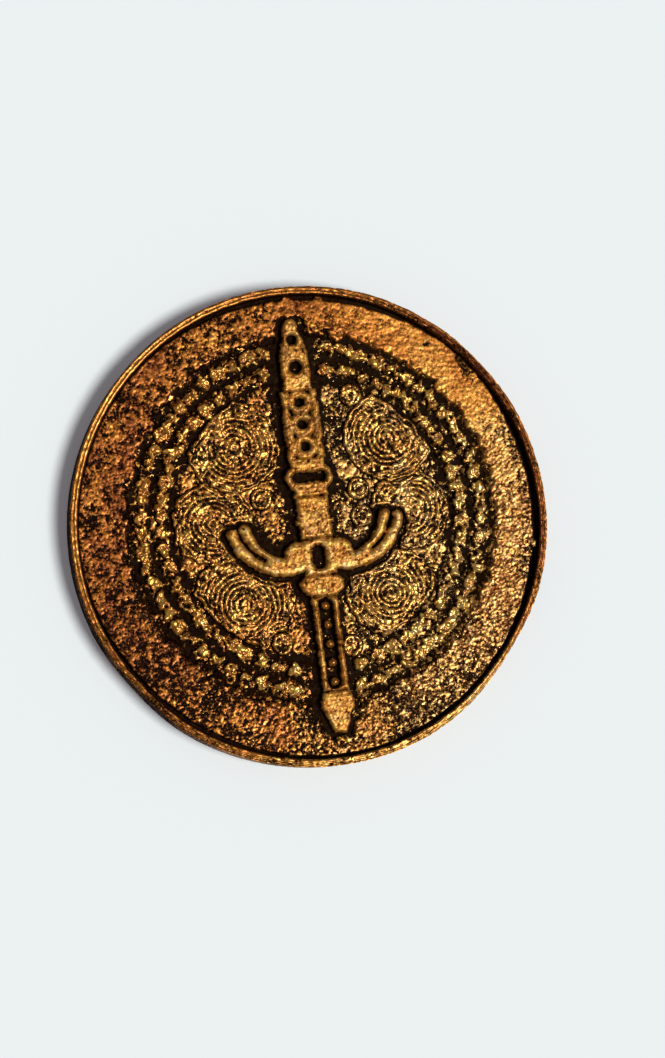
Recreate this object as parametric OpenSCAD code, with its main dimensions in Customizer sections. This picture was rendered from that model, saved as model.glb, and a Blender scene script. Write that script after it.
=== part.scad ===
// Round fare token, 40 mm across, lying flat with its face up.
// A plain disc carries a full-height rim and a low relief: a border band, two rings of
// rough marks, six rippled panels and an upright sword emblem.
// Origin: centre of the flat reverse. +Z is up through the face, +Y is up in the design.

/* [Token] */
// Diameter over the rim
token_d = 40; // [38:0.5:44]
// Height of the rim above the flat reverse
token_h = 3; // [2.8:0.1:3.6]
// Width of the rim's top
rim_w = 0.72; // [0.6:0.02:1]
// Depth of the sunk floor below the rim's top
floor_depth = 1; // [0.8:0.1:1.2]
// Width of the groove between the rim and the border band
groove_w = 0.35; // [0.2:0.05:0.4]

/* [Relief heights above the sunk floor] */
// Height of the border band
band_h = 0.4; // [0.3:0.05:0.6]
// Height of the rough marks
mark_h = 0.55; // [0.3:0.05:0.7]
// Height of the rippled panels
panel_h = 0.4; // [0.3:0.05:0.6]
// Height of the sword
sword_h = 0.9; // [0.8:0.05:1]
// Height of the beads set in the grip
bead_h = 0.75; // [0.5:0.05:0.8]

/* [Rings] */
// Sideways place of the rings' common centre
ring_x = 0.2; // [0:0.1:0.4]
// Upward place of the rings' common centre
ring_y = 0.6; // [0.4:0.1:0.8]
// Inner radius of the border band
band_inner_r = 15.3; // [15.2:0.1:15.6]
// Middle radius of the outer ring of marks
outer_ring_r = 14.3; // [14.2:0.1:14.4]
// Middle radius of the inner ring of marks
inner_ring_r = 12.6; // [12.5:0.1:12.7]
// Number of marks round the outer ring
outer_mark_count = 64; // [48:1:68]
// Number of marks round the inner ring
inner_mark_count = 56; // [44:1:60]
// Length of a mark along its ring
mark_len = 1.1; // [0.8:0.05:1.2]
// Width of a mark across its ring
mark_w = 0.6; // [0.4:0.05:0.65]

/* [Panels] */
// Radius that the rippled panels keep inside
panel_limit_r = 11.6; // [11.4:0.1:11.7]
// Gap between neighbouring panels
panel_gap = 0.12; // [0.1:0.01:0.3]
// Radius of the larger roundels
roundel_r = 0.95; // [0.7:0.05:1]

/* [Sword] */
// Turn of the sword, anticlockwise
sword_turn = 7.4; // [6:0.1:9]
// Sideways place of the sword's axis before it is turned
sword_x = 0.4; // [0.2:0.05:0.6]
// Length from the tip to the end of the pommel
sword_len = 34.6; // [34:0.1:34.8]
// Width of the pierced blade
blade_w = 2.9; // [2.6:0.1:3.1]
// Width of the collar on the blade
collar_w = 4; // [3.6:0.1:4.2]
// Width of the plain blade under the collar
base_w = 2.7; // [2.4:0.1:2.8]
// Width of the grip
grip_w = 2.2; // [2:0.1:2.4]
// Width of the slot down the grip
slot_w = 1.2; // [1.1:0.05:1.3]
// Number of beads in the grip
bead_count = 5; // [4:1:6]
// Widest part of the pommel
pommel_w = 2.8; // [2.4:0.1:3]
// Bare floor left round the sword
sword_gap = 0.45; // [0.3:0.05:0.5]

/* [Hidden] */

$fn = 96;
cut = 0.5;                                  // how far a cutting shape runs past what it cuts
face_r = token_d / 2 - rim_w;               // radius of the field inside the rim
floor_z = token_h - floor_depth;            // level of the sunk floor

// Stations along the sword, from the tip down to the end of the pommel
tip_y = sword_len / 2;
point_end_y = tip_y - 6.1;
openwork_end_y = point_end_y - 5.6;
collar_end_y = openwork_end_y - 3.2;
base_end_y = collar_end_y - 3.5;
guard_end_y = base_end_y - 3.1;
grip_collar_end_y = guard_end_y - 1.8;
grip_end_y = grip_collar_end_y - 7.8;
pommel_end_y = -sword_len / 2;

tip_r = 0.55;                               // roundness of the blade's tip
point_w = 2.4;                              // width of the point where it meets the openwork
link_r = 0.98;                              // outer radius of each ring in the openwork
link_count = 3;
rail_w = 0.5;                               // width of the openwork's side rails
guard_y = base_end_y - 1.6;                 // height of the crossguard's hub
arm_x = 2.6;                                // centre of an arm's curve, from the sword's axis
arm_y = 3.7;                                // centre of an arm's curve, above the hub
arm_r = 5;                                  // outer radius of an arm's curve
arm_inner_r = 3.45;                         // inner radius, about its own nearer centre
arm_shift = [-0.6, -0.15];                  // from the outer centre to the inner one
arm_tip_angle = -14;
strand_r = 0.52;                            // round end of each of an arm's two strands
strand_step = 1.06;                         // from one strand's end to the other's
strand_gap = 0.24;                          // slit between the strands

// Panels: [x, y, radius] of each round lobe, from the token's centre
left_lobes = [[-6.4, 6.4, 3.8], [-8.2, 0, 3.4], [-5.4, -6.4, 4.2]];
right_lobes = [[6.6, 7.6, 3.7], [8.4, 1.4, 3.3], [6.8, -5.2, 3.8]];
// Roundels: [x, y] of each small raised disc
roundels = [[3.4, 11], [4.1, 3.2], [4.4, 0.9], [-4.1, 2.1], [-2.2, -9.8], [3.6, -9.9]];

mark_colour = [0.62, 0.44, 0.2];
field_colour = [0.45, 0.3, 0.14];
dark_colour = [0.12, 0.09, 0.07];
sword_colour = [0.72, 0.52, 0.24];

// A repeatable value from 0 to 1 for a whole number
function chance(i) = let (v = sin(i * 137.508 + 41) * 43.758) v - floor(v);

// A point of the token seen in the sword's own frame
function in_sword(p) = [
    p.x * cos(sword_turn) + p.y * sin(sword_turn) - sword_x,
    p.y * cos(sword_turn) - p.x * sin(sword_turn)
];

// Half the width that a mark keeps clear at a height along the sword
function keep_half(y) = (y > point_end_y ? point_w : y < grip_end_y ? pommel_w : grip_w) / 2
    + sword_gap + mark_len / 2;

module raise(h) {
    translate([0, 0, floor_z]) linear_extrude(h) children();
}

module on_sword() {
    rotate(sword_turn) translate([sword_x, 0]) children();
}

// Rounded bar from one height to another along the sword
module bar(width, low_y, high_y) {
    translate([-width / 2, low_y]) square([width, high_y - low_y]);
}

// ---- blank, rim and border ----

module blank() {
    color(dark_colour) cylinder(h = floor_z, r = face_r, $fn = 180);
}

module rim() {
    color(field_colour) difference() {
        cylinder(h = token_h, d = token_d, $fn = 180);
        translate([0, 0, -cut]) cylinder(h = token_h + 2 * cut, r = face_r, $fn = 180);
    }
}

module border_band() {
    color(field_colour) raise(band_h) difference() {
        circle(r = face_r - groove_w, $fn = 180);
        translate([ring_x, ring_y]) circle(r = band_inner_r, $fn = 180);
        on_sword() sword_clearance();
    }
}

// ---- rings of rough marks ----

// One mark at a place on its ring: a bar, a dot or a bent pair of bars
module mark(i) {
    long = mark_len * (0.7 + 0.3 * chance(i));
    wide = mark_w * (0.8 + 0.4 * chance(i + 300));
    lean = 70 * (chance(i + 600) - 0.5);
    pick = chance(i + 900);
    if (pick < 0.3) circle(r = wide * 0.85, $fn = 24);
    else rotate(lean) {
        square([long, wide], center = true);
        if (pick > 0.65) translate([long / 2 - wide / 2, -wide / 2]) square([wide, long * 0.6]);
    }
}

module mark_ring(radius, count, seed) {
    color(mark_colour) raise(mark_h) for (i = [0:count - 1]) {
        angle = 360 * i / count;
        place = [ring_x + radius * cos(angle), ring_y + radius * sin(angle)];
        seen = in_sword(place);
        if (abs(seen.x) > keep_half(seen.y)) translate(place) rotate(angle + 90) mark(i + seed);
    }
}

module outer_mark_ring() {
    mark_ring(outer_ring_r, outer_mark_count, 11);
}

module inner_mark_ring() {
    mark_ring(inner_ring_r, inner_mark_count, 127);
}

// ---- rippled panels ----

// One round lobe, kept clear of the lobes before it, the rings, the roundels and the sword
module panel(lobes, index) {
    lobe = lobes[index];
    color(mark_colour) raise(panel_h) difference() {
        intersection() {
            translate([lobe.x, lobe.y]) circle(r = lobe[2]);
            translate([ring_x, ring_y]) circle(r = panel_limit_r, $fn = 180);
        }
        for (i = [0:1:index - 1])
            translate([lobes[i].x, lobes[i].y]) circle(r = lobes[i][2] + panel_gap);
        for (p = roundels) translate(p) circle(r = roundel_r + panel_gap, $fn = 48);
        on_sword() sword_clearance();
    }
}

module left_ripple_upper() {
    panel(left_lobes, 0);
}

module left_ripple_middle() {
    panel(left_lobes, 1);
}

module left_ripple_lower() {
    panel(left_lobes, 2);
}

module right_ripple_upper() {
    panel(right_lobes, 0);
}

module right_ripple_middle() {
    panel(right_lobes, 1);
}

module right_ripple_lower() {
    panel(right_lobes, 2);
}

module ripple_roundels() {
    color(mark_colour) raise(panel_h) for (p = roundels) translate(p) circle(r = roundel_r, $fn = 48);
}

// ---- sword ----

// Point on an arm's outer curve, moved in by some distance
function on_arm(angle, inward) = [
    arm_x + (arm_r - inward) * cos(angle), arm_y + (arm_r - inward) * sin(angle)
];

// Wedge that holds an arm's curve from the sword's axis out to an angle
module arm_wedge(angle) {
    reach = 2 * arm_r;
    polygon([
        [arm_x, arm_y], on_arm(angle, -reach), [arm_x + arm_r, arm_y - reach],
        [0, arm_y - reach], [0, arm_y - arm_r * 0.8]
    ]);
}

// Outline of one arm of the crossguard, which widens outwards; grow widens it all round
module guard_arm(grow = 0) {
    intersection() {
        difference() {
            translate([arm_x, arm_y]) circle(r = arm_r + grow);
            translate([arm_x, arm_y] + arm_shift) circle(r = arm_inner_r - grow);
        }
        arm_wedge(arm_tip_angle);
    }
    for (i = [0, 1])
        translate(on_arm(arm_tip_angle, strand_r + i * strand_step)) circle(r = strand_r + grow, $fn = 48);
}

// Slit that parts an arm's outer half into two strands
module arm_slit() {
    middle_r = arm_r - strand_r - strand_step / 2;
    intersection() {
        translate([arm_x, arm_y]) difference() {
            circle(r = middle_r + strand_gap / 2);
            circle(r = middle_r - strand_gap / 2);
        }
        polygon([
            [arm_x, arm_y], on_arm(arm_tip_angle + 14, -arm_r), [arm_x + 2 * arm_r, arm_y - 2 * arm_r],
            on_arm(-62, -arm_r)
        ]);
    }
}

// Outline of the whole crossguard, wider by grow on every side
module guard_outline(grow = 0) {
    translate([0, guard_y]) {
        guard_arm(grow);
        mirror([1, 0]) guard_arm(grow);
        for (side = [-1, 1]) translate([side * 1.7, 0.2]) circle(r = 1.25 + grow, $fn = 48);
    }
    bar(base_w + 2 * grow, guard_end_y, base_end_y);
}

// Outline of the blade's point, wider by grow on every side
module point_outline(grow = 0) {
    shoulder = point_w / 2 + grow;
    round_r = tip_r + grow;
    polygon([
        for (angle = [0:15:180]) [round_r * cos(angle), tip_y - tip_r + round_r * sin(angle)],
        [-shoulder, tip_y - 3], [-shoulder, point_end_y],
        [shoulder, point_end_y], [shoulder, tip_y - 3]
    ]);
}

// Outline of the pommel, wider by grow on every side
module pommel_outline(grow = 0) {
    polygon([
        [-grip_w / 2 - grow, grip_end_y], [grip_w / 2 + grow, grip_end_y],
        [pommel_w / 2 + grow, grip_end_y - 0.9], [pommel_w / 2 + grow, grip_end_y - 1.3],
        [0.5 + grow, pommel_end_y - grow], [-0.5 - grow, pommel_end_y - grow],
        [-pommel_w / 2 - grow, grip_end_y - 1.3], [-pommel_w / 2 - grow, grip_end_y - 0.9]
    ]);
}

// Floor that stays bare round the sword
module sword_clearance() {
    point_outline(sword_gap);
    bar(blade_w + 2 * sword_gap, openwork_end_y, point_end_y + 0.3);
    bar(collar_w + 2 * sword_gap, collar_end_y - sword_gap, openwork_end_y + sword_gap);
    bar(base_w + 2 * sword_gap, guard_end_y, collar_end_y);
    guard_outline(sword_gap);
    bar(3.8 + 2 * sword_gap, grip_collar_end_y, guard_end_y);
    bar(grip_w + 2 * sword_gap, grip_end_y, grip_collar_end_y);
    pommel_outline(sword_gap);
}

module blade_point() {
    color(sword_colour) raise(sword_h) on_sword() difference() {
        point_outline();
        translate([0, tip_y - 1.75]) circle(r = 0.42, $fn = 32);
        translate([0, tip_y - 4.1]) circle(r = 0.52, $fn = 32);
    }
}

// Two side rails joined by a chain of rings
module blade_openwork() {
    pitch = (point_end_y - openwork_end_y) / link_count;
    color(sword_colour) raise(sword_h) on_sword() {
        for (i = [0:link_count - 1]) translate([0, openwork_end_y + pitch * (i + 0.5)]) difference() {
            circle(r = link_r, $fn = 48);
            circle(r = 0.5, $fn = 32);
        }
        for (side = [-1, 1])
            translate([side * (blade_w - rail_w) / 2, 0]) bar(rail_w, openwork_end_y, point_end_y);
    }
}

module blade_collar() {
    middle_y = (openwork_end_y + collar_end_y) / 2;
    slot_r = 0.42;
    color(sword_colour) raise(sword_h) on_sword() difference() {
        union() {
            bar(blade_w, collar_end_y, openwork_end_y);
            for (side = [-1, 1])
                translate([side * (collar_w / 2 - 1.2), middle_y]) circle(r = 1.2, $fn = 48);
        }
        translate([0, middle_y]) {
            square([2, 2 * slot_r], center = true);
            for (side = [-1, 1]) translate([side, 0]) circle(r = slot_r, $fn = 32);
        }
    }
}

module blade_base() {
    color(sword_colour) raise(sword_h) on_sword() {
        bar(base_w, base_end_y, collar_end_y);
        bar(base_w + 0.5, collar_end_y - 2.3, collar_end_y - 1.9);
    }
}

module crossguard() {
    color(sword_colour) raise(sword_h) on_sword() difference() {
        guard_outline();
        translate([0, guard_y]) {
            arm_slit();
            mirror([1, 0]) arm_slit();
            square([1.1, 0.9], center = true);
            for (end = [-1, 1]) translate([0, end * 0.45]) circle(r = 0.55, $fn = 32);
        }
    }
}

module grip_collar() {
    color(sword_colour) raise(sword_h) on_sword() polygon([
        [-base_w / 2, guard_end_y], [base_w / 2, guard_end_y],
        [1.9, guard_end_y - 0.5], [1.75, guard_end_y - 1.2], [grip_w / 2, grip_collar_end_y],
        [-grip_w / 2, grip_collar_end_y], [-1.75, guard_end_y - 1.2], [-1.9, guard_end_y - 0.5]
    ]);
}

module grip_frame() {
    color(sword_colour) raise(sword_h) on_sword() difference() {
        bar(grip_w, grip_end_y, grip_collar_end_y);
        bar(slot_w, grip_end_y + slot_w / 2 + 0.1, grip_collar_end_y - slot_w / 2 - 0.1);
        for (y = [grip_end_y + slot_w / 2 + 0.1, grip_collar_end_y - slot_w / 2 - 0.1])
            translate([0, y]) circle(d = slot_w, $fn = 32);
    }
}

module grip_beads() {
    top_y = grip_collar_end_y - slot_w / 2 - 0.15;
    low_y = grip_end_y + slot_w / 2 + 0.15;
    color(mark_colour) raise(bead_h) on_sword()
        for (i = [0:bead_count - 1])
            translate([0, low_y + (top_y - low_y) * i / (bead_count - 1)])
                circle(r = slot_w / 2 - 0.15, $fn = 32);
}

module pommel() {
    color(sword_colour) raise(sword_h) on_sword() pommel_outline();
}

blank();
rim();
border_band();
outer_mark_ring();
inner_mark_ring();
left_ripple_upper();
left_ripple_middle();
left_ripple_lower();
right_ripple_upper();
right_ripple_middle();
right_ripple_lower();
ripple_roundels();
blade_point();
blade_openwork();
blade_collar();
blade_base();
crossguard();
grip_collar();
grip_frame();
grip_beads();
pommel();
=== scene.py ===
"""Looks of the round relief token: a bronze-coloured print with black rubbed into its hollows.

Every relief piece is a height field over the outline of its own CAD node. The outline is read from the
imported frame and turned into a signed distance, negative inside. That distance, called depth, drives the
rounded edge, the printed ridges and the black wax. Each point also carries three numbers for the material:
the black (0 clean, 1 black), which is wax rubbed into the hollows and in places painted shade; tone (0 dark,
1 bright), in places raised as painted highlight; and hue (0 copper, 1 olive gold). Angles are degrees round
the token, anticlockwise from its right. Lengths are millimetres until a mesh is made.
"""
import math

import bmesh
import bpy
import numpy as np
from mathutils import Matrix, Vector


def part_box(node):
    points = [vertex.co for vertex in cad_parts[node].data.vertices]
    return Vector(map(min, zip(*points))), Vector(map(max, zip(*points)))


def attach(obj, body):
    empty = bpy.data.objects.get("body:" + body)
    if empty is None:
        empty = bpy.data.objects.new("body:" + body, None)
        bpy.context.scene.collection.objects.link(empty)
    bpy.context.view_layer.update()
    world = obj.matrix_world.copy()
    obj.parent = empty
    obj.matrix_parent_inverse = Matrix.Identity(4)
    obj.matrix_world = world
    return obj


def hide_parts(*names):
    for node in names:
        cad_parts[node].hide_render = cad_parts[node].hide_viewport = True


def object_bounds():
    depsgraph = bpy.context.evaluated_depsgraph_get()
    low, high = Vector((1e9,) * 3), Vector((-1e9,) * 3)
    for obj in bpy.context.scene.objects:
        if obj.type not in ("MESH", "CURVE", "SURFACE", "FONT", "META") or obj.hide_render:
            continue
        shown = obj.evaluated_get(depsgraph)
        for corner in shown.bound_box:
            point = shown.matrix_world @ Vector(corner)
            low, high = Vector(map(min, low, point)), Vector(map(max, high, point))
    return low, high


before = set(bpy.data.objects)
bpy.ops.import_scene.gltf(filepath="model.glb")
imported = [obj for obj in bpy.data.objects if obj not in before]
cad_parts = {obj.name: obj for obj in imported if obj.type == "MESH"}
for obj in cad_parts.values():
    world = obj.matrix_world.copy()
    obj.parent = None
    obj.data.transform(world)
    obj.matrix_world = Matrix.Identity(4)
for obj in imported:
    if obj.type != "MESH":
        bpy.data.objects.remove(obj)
CAD_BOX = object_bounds()

MM = 0.001                      # metres in a millimetre
TOOLPATH = 0.42                 # distance between printed lines
LAYER = 0.2                     # height of a printed layer
EDGE_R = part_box("rim")[1].x / MM
RIM_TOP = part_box("rim")[1].z / MM
FIELD_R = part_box("blank")[1].x / MM
FLOOR_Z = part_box("blank")[1].z / MM
SHELL = 0.3                     # thickness of the printed layers that close the reverse
ROOT_Z = FLOOR_Z - 0.06         # underside of a relief piece, sunk a little into the floor
WORN_SIDE = (318, 50)           # angle, and width, of the side where the black is rubbed off most

BAND_STEP = 0.075               # grid steps of the relief meshes
FLOOR_STEP = 0.107
MARK_STEP = 0.07
PANEL_STEP = 0.06
SWORD_STEP = 0.055
BEAD_STEP = 0.05
SWORD_MAP_STEP = 0.12
RIM_TURNS = 940                 # points round the rim, and round the loops of the reverse
LOOP_TURNS = 720


# ---- number helpers -------------------------------------------------------------------------------------

def smooth_step(low, high, value):
    """0 below low, 1 above high, and smooth between them; it falls instead where low is the larger."""
    t = np.clip((value - low) / (high - low), 0, 1)
    return t * t * (3 - 2 * t)


def lumps(x, y, size, seed):
    """Smooth noise from -1 to 1 whose lumps are about size across."""
    side = 256
    table = np.random.default_rng(seed).uniform(-1, 1, (side, side))
    turn = 0.7 + 1.3 * seed
    u = (x * math.cos(turn) - y * math.sin(turn)) / size
    v = (x * math.sin(turn) + y * math.cos(turn)) / size
    iu, iv = np.floor(u).astype(int), np.floor(v).astype(int)
    fu, fv = u - iu, v - iv
    fu, fv = fu * fu * (3 - 2 * fu), fv * fv * (3 - 2 * fv)
    a, b = table[iu % side, iv % side], table[(iu + 1) % side, iv % side]
    c, d = table[iu % side, (iv + 1) % side], table[(iu + 1) % side, (iv + 1) % side]
    return (a * (1 - fu) + b * fu) * (1 - fv) + (c * (1 - fu) + d * fu) * fv


def rough(x, y, size, seed, octaves=3):
    """Layered noise: each octave is half the size and a little over half the strength."""
    total, strength, norm = 0, 1, 0
    for i in range(octaves):
        total = total + strength * lumps(x, y, size / 2 ** i, seed + 17 * i)
        norm += strength
        strength *= 0.55
    return total / norm * 1.6


def facets(x, y, size, seed):
    """Flat chips about size across, each tilted its own way: height, and a number from -1 to 1 per chip."""
    side = 128
    rng = np.random.default_rng(seed)
    jitter = rng.uniform(0.1, 0.9, (side, side, 2))
    slope = rng.normal(0, 1, (side, side, 2))
    shade = rng.uniform(-1, 1, (side, side))
    u, v = np.asarray(x) / size, np.asarray(y) / size
    nearest, tilted, shaded = np.full(u.shape, 9.0), np.zeros(u.shape), np.zeros(u.shape)
    for du in (-1, 0, 1):
        for dv in (-1, 0, 1):
            iu, iv = np.floor(u).astype(int) + du, np.floor(v).astype(int) + dv
            cell = (iu % side, iv % side)
            right, up = u - iu - jitter[cell][..., 0], v - iv - jitter[cell][..., 1]
            closer = right ** 2 + up ** 2 < nearest
            nearest = np.where(closer, right ** 2 + up ** 2, nearest)
            tilted = np.where(closer, slope[cell][..., 0] * right + slope[cell][..., 1] * up, tilted)
            shaded = np.where(closer, shade[cell], shaded)
    return tilted * size, shaded


def near_angle(x, y, degrees, width):
    """1 on a ray at that angle from the centre, fading over width degrees on each side."""
    away = (np.degrees(np.arctan2(y, x)) - degrees + 180) % 360 - 180
    return np.exp(-(away / width) ** 2)


# ---- outlines and signed distance -----------------------------------------------------------------------

def outline(node):
    """The border of a CAD node's flat top, as an array of segments [[x, y], [x, y]] in millimetres."""
    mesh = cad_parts[node].data
    points = np.array([v.co[:] for v in mesh.vertices]) / MM
    top = points[:, 2].max()
    keys = {}
    index = [keys.setdefault(tuple(np.round(p[:2], 4)), len(keys)) for p in points]
    flat = np.array(list(keys))
    count = {}
    for face in mesh.polygons:
        if all(abs(points[i][2] - top) < 1e-3 for i in face.vertices):
            ring = [index[i] for i in face.vertices]
            if len(set(ring)) < len(ring):
                continue
            for a, b in zip(ring, ring[1:] + ring[:1]):
                key = (min(a, b), max(a, b))
                count[key] = count.get(key, 0) + 1
    return np.array([[flat[a], flat[b]] for (a, b), n in count.items() if n == 1])


def grid_over(segments, step, margin=0.3):
    """Grid lines (xs, ys) that cover the segments."""
    low = segments.min(axis=(0, 1)) - margin
    high = segments.max(axis=(0, 1)) + margin
    nudge = 0.0137              # keeps the lines off the outline's own corners
    xs = np.arange(low[0] - nudge, high[0] + step, step)
    ys = np.arange(low[1] - nudge, high[1] + step, step)
    return xs, ys


def signed_distance(segments, xs, ys, reach):
    """Distance to the nearest segment, negative inside, on the grid; no more than reach."""
    step = xs[1] - xs[0]
    gap = np.full((len(ys), len(xs)), reach)
    flips = np.zeros((len(ys), len(xs) + 1), int)
    for (ax, ay), (bx, by) in segments:
        i0 = max(0, int((min(ax, bx) - reach - xs[0]) / step))
        i1 = min(len(xs), int((max(ax, bx) + reach - xs[0]) / step) + 2)
        j0 = max(0, int((min(ay, by) - reach - ys[0]) / step))
        j1 = min(len(ys), int((max(ay, by) + reach - ys[0]) / step) + 2)
        gx, gy = xs[None, i0:i1], ys[j0:j1, None]
        dx, dy = bx - ax, by - ay
        t = np.clip(((gx - ax) * dx + (gy - ay) * dy) / max(dx * dx + dy * dy, 1e-12), 0, 1)
        window = gap[j0:j1, i0:i1]
        np.minimum(window, np.hypot(gx - ax - t * dx, gy - ay - t * dy), out=window)
        rows = np.nonzero((ys >= min(ay, by)) & (ys < max(ay, by)))[0]
        if len(rows):
            cross = ax + (ys[rows] - ay) / dy * dx
            np.add.at(flips, (rows, np.searchsorted(xs, cross)), 1)
    inside = np.cumsum(flips, axis=1)[:, :-1] % 2 == 1
    return np.where(inside, -gap, gap)


# ---- meshes ---------------------------------------------------------------------------------------------

def snapped_cells(distance, xs, ys):
    """Points, their distance, and faces of the region below 0, with its border drawn on the zero line."""
    step = xs[1] - xs[0]
    x, y = np.meshgrid(xs, ys)
    gy, gx = np.gradient(distance, step)
    slope = np.maximum(np.hypot(gx, gy), 0.3)
    away = distance / slope
    on = np.abs(away) < 0.5 * step
    x = np.where(on, x - away * gx / slope, x)
    y = np.where(on, y - away * gy / slope, y)
    outside = ~on & (away > 0)
    number = np.arange(distance.size).reshape(distance.shape)
    rows, cols = distance.shape

    def at_corners(values):
        """The values at the four corners of every cell, in order round the cell."""
        corners = ((0, 0), (0, 1), (1, 1), (1, 0))
        return np.stack([values[j:rows - 1 + j, i:cols - 1 + i] for j, i in corners], -1)

    out = at_corners(outside)
    ids = at_corners(number)
    middle = at_corners(distance).mean(-1)
    edge_only = at_corners(on) | out
    good = ~(edge_only.all(-1) & (middle > 0))
    quads = ids[(out.sum(-1) == 0) & good]
    faces = [quads]
    for k in range(4):
        lone = out[..., k] & (out.sum(-1) == 1) & good
        faces.append(ids[lone][:, [i for i in range(4) if i != k]])
    used = np.unique(np.concatenate([f.ravel() for f in faces]))
    renumber = np.zeros(distance.size, int)
    renumber[used] = np.arange(len(used))
    depth = np.where(on, 0, distance).ravel()[used]
    points = np.stack([x.ravel()[used], y.ravel()[used]], -1)
    return points, depth, [list(f) for block in faces for f in renumber[block].tolist()]


def border_edges(faces):
    """Directed edges that only one face uses."""
    edges = set()
    for face in faces:
        for a, b in zip(face, face[1:] + face[:1]):
            if (b, a) in edges:
                edges.discard((b, a))
            else:
                edges.add((a, b))
    return edges


def close_below(points, top_z, faces, low_z):
    """Adds upright walls to a height field: its corners, its faces, and the edges of its open underside."""
    edges = sorted(border_edges(faces))
    rim = sorted({i for edge in edges for i in edge})
    below = {i: len(points) + k for k, i in enumerate(rim)}
    corners = [(p[0], p[1], z) for p, z in zip(points, top_z)]
    corners += [(points[i][0], points[i][1], low_z) for i in rim]
    walls = [[a, below[a], below[b], b] for a, b in edges]
    return corners, faces + walls, [(below[a], below[b]) for a, b in edges]


def make_piece(name, corners, faces, attributes, low_loop=()):
    """A smooth-shaded mesh object; low_loop holds the edges of an underside to be filled flat.

    attributes gives the black (wax and painted shade), tone and hue of the first corners; those after them,
    out of sight, are black.
    """
    unseen = {"wax_and_shade": 1.0, "tone": 0.4, "hue": 0.4}
    mesh = bpy.data.meshes.new(name)
    mesh.from_pydata([(x * MM, y * MM, z * MM) for x, y, z in corners], [], faces)
    for key, values in attributes.items():
        layer = mesh.attributes.new(key, "FLOAT", "POINT")
        padded = np.full(len(corners), unseen[key], np.float32)
        padded[:len(values)] = values
        layer.data.foreach_set("value", padded)
    if low_loop:
        work = bmesh.new()
        work.from_mesh(mesh)
        work.verts.ensure_lookup_table()
        loop = [work.edges.get((work.verts[a], work.verts[b])) for a, b in low_loop]
        filled = bmesh.ops.triangle_fill(work, edges=loop, normal=(0, 0, -1))
        for item in filled["geom"]:
            if isinstance(item, bmesh.types.BMFace) and item.normal.z > 0:
                item.normal_flip()
        bmesh.ops.recalc_face_normals(work, faces=work.faces)
        work.to_mesh(mesh)
        work.free()
    mesh.shade_smooth()
    piece = bpy.data.objects.new(name, mesh)
    bpy.context.scene.collection.objects.link(piece)
    return piece


def add_relief(name, node, distance, xs, ys, low_z, surface, look):
    """One closed relief piece in a node's place. surface(x, y, depth) gives height, black (wax and painted
    shade), tone and hue.
    """
    points, depth, faces = snapped_cells(distance, xs, ys)
    height, wax_and_shade, tone, hue = surface(points[:, 0], points[:, 1], depth)
    corners, all_faces, loop = close_below(points, height, faces, low_z)
    piece = make_piece(name, corners, all_faces, {"wax_and_shade": wax_and_shade, "tone": tone, "hue": hue}, loop)
    finish_piece(piece, node, look)


def finish_piece(piece, node, look):
    """Material, body and replaced node of a piece."""
    piece.data.materials.append(look)
    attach(piece, "root")
    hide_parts(node)


# ---- material -------------------------------------------------------------------------------------------

METALS = ((0.0, (0.190, 0.055, 0.014)),         # hue and half the colour: copper
          (0.5, (0.39, 0.148, 0.026)),          # orange
          (0.75, (0.42, 0.198, 0.042)),         # yellow gold
          (1.0, (0.37, 0.218, 0.080)))          # olive gold
TONES = ((0.13, 0.085, 0.06),                   # what the colour is multiplied by: dark
         (0.46, 0.43, 0.40),                    # middle
         (0.84, 1.0, 1.08))                     # bright
PINK_CAST = (1.05, 0.94, 1.06)
OLIVE_CAST = (0.97, 1.04, 0.80)
# colour of the black: rubbed-in wax, and in places painted shade
BLACK_WAX_AND_SHADE = (0.0034, 0.0009, 0.0003)
WAX_SHEER = 0.028                               # share of the metal that shows through the wax


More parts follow.
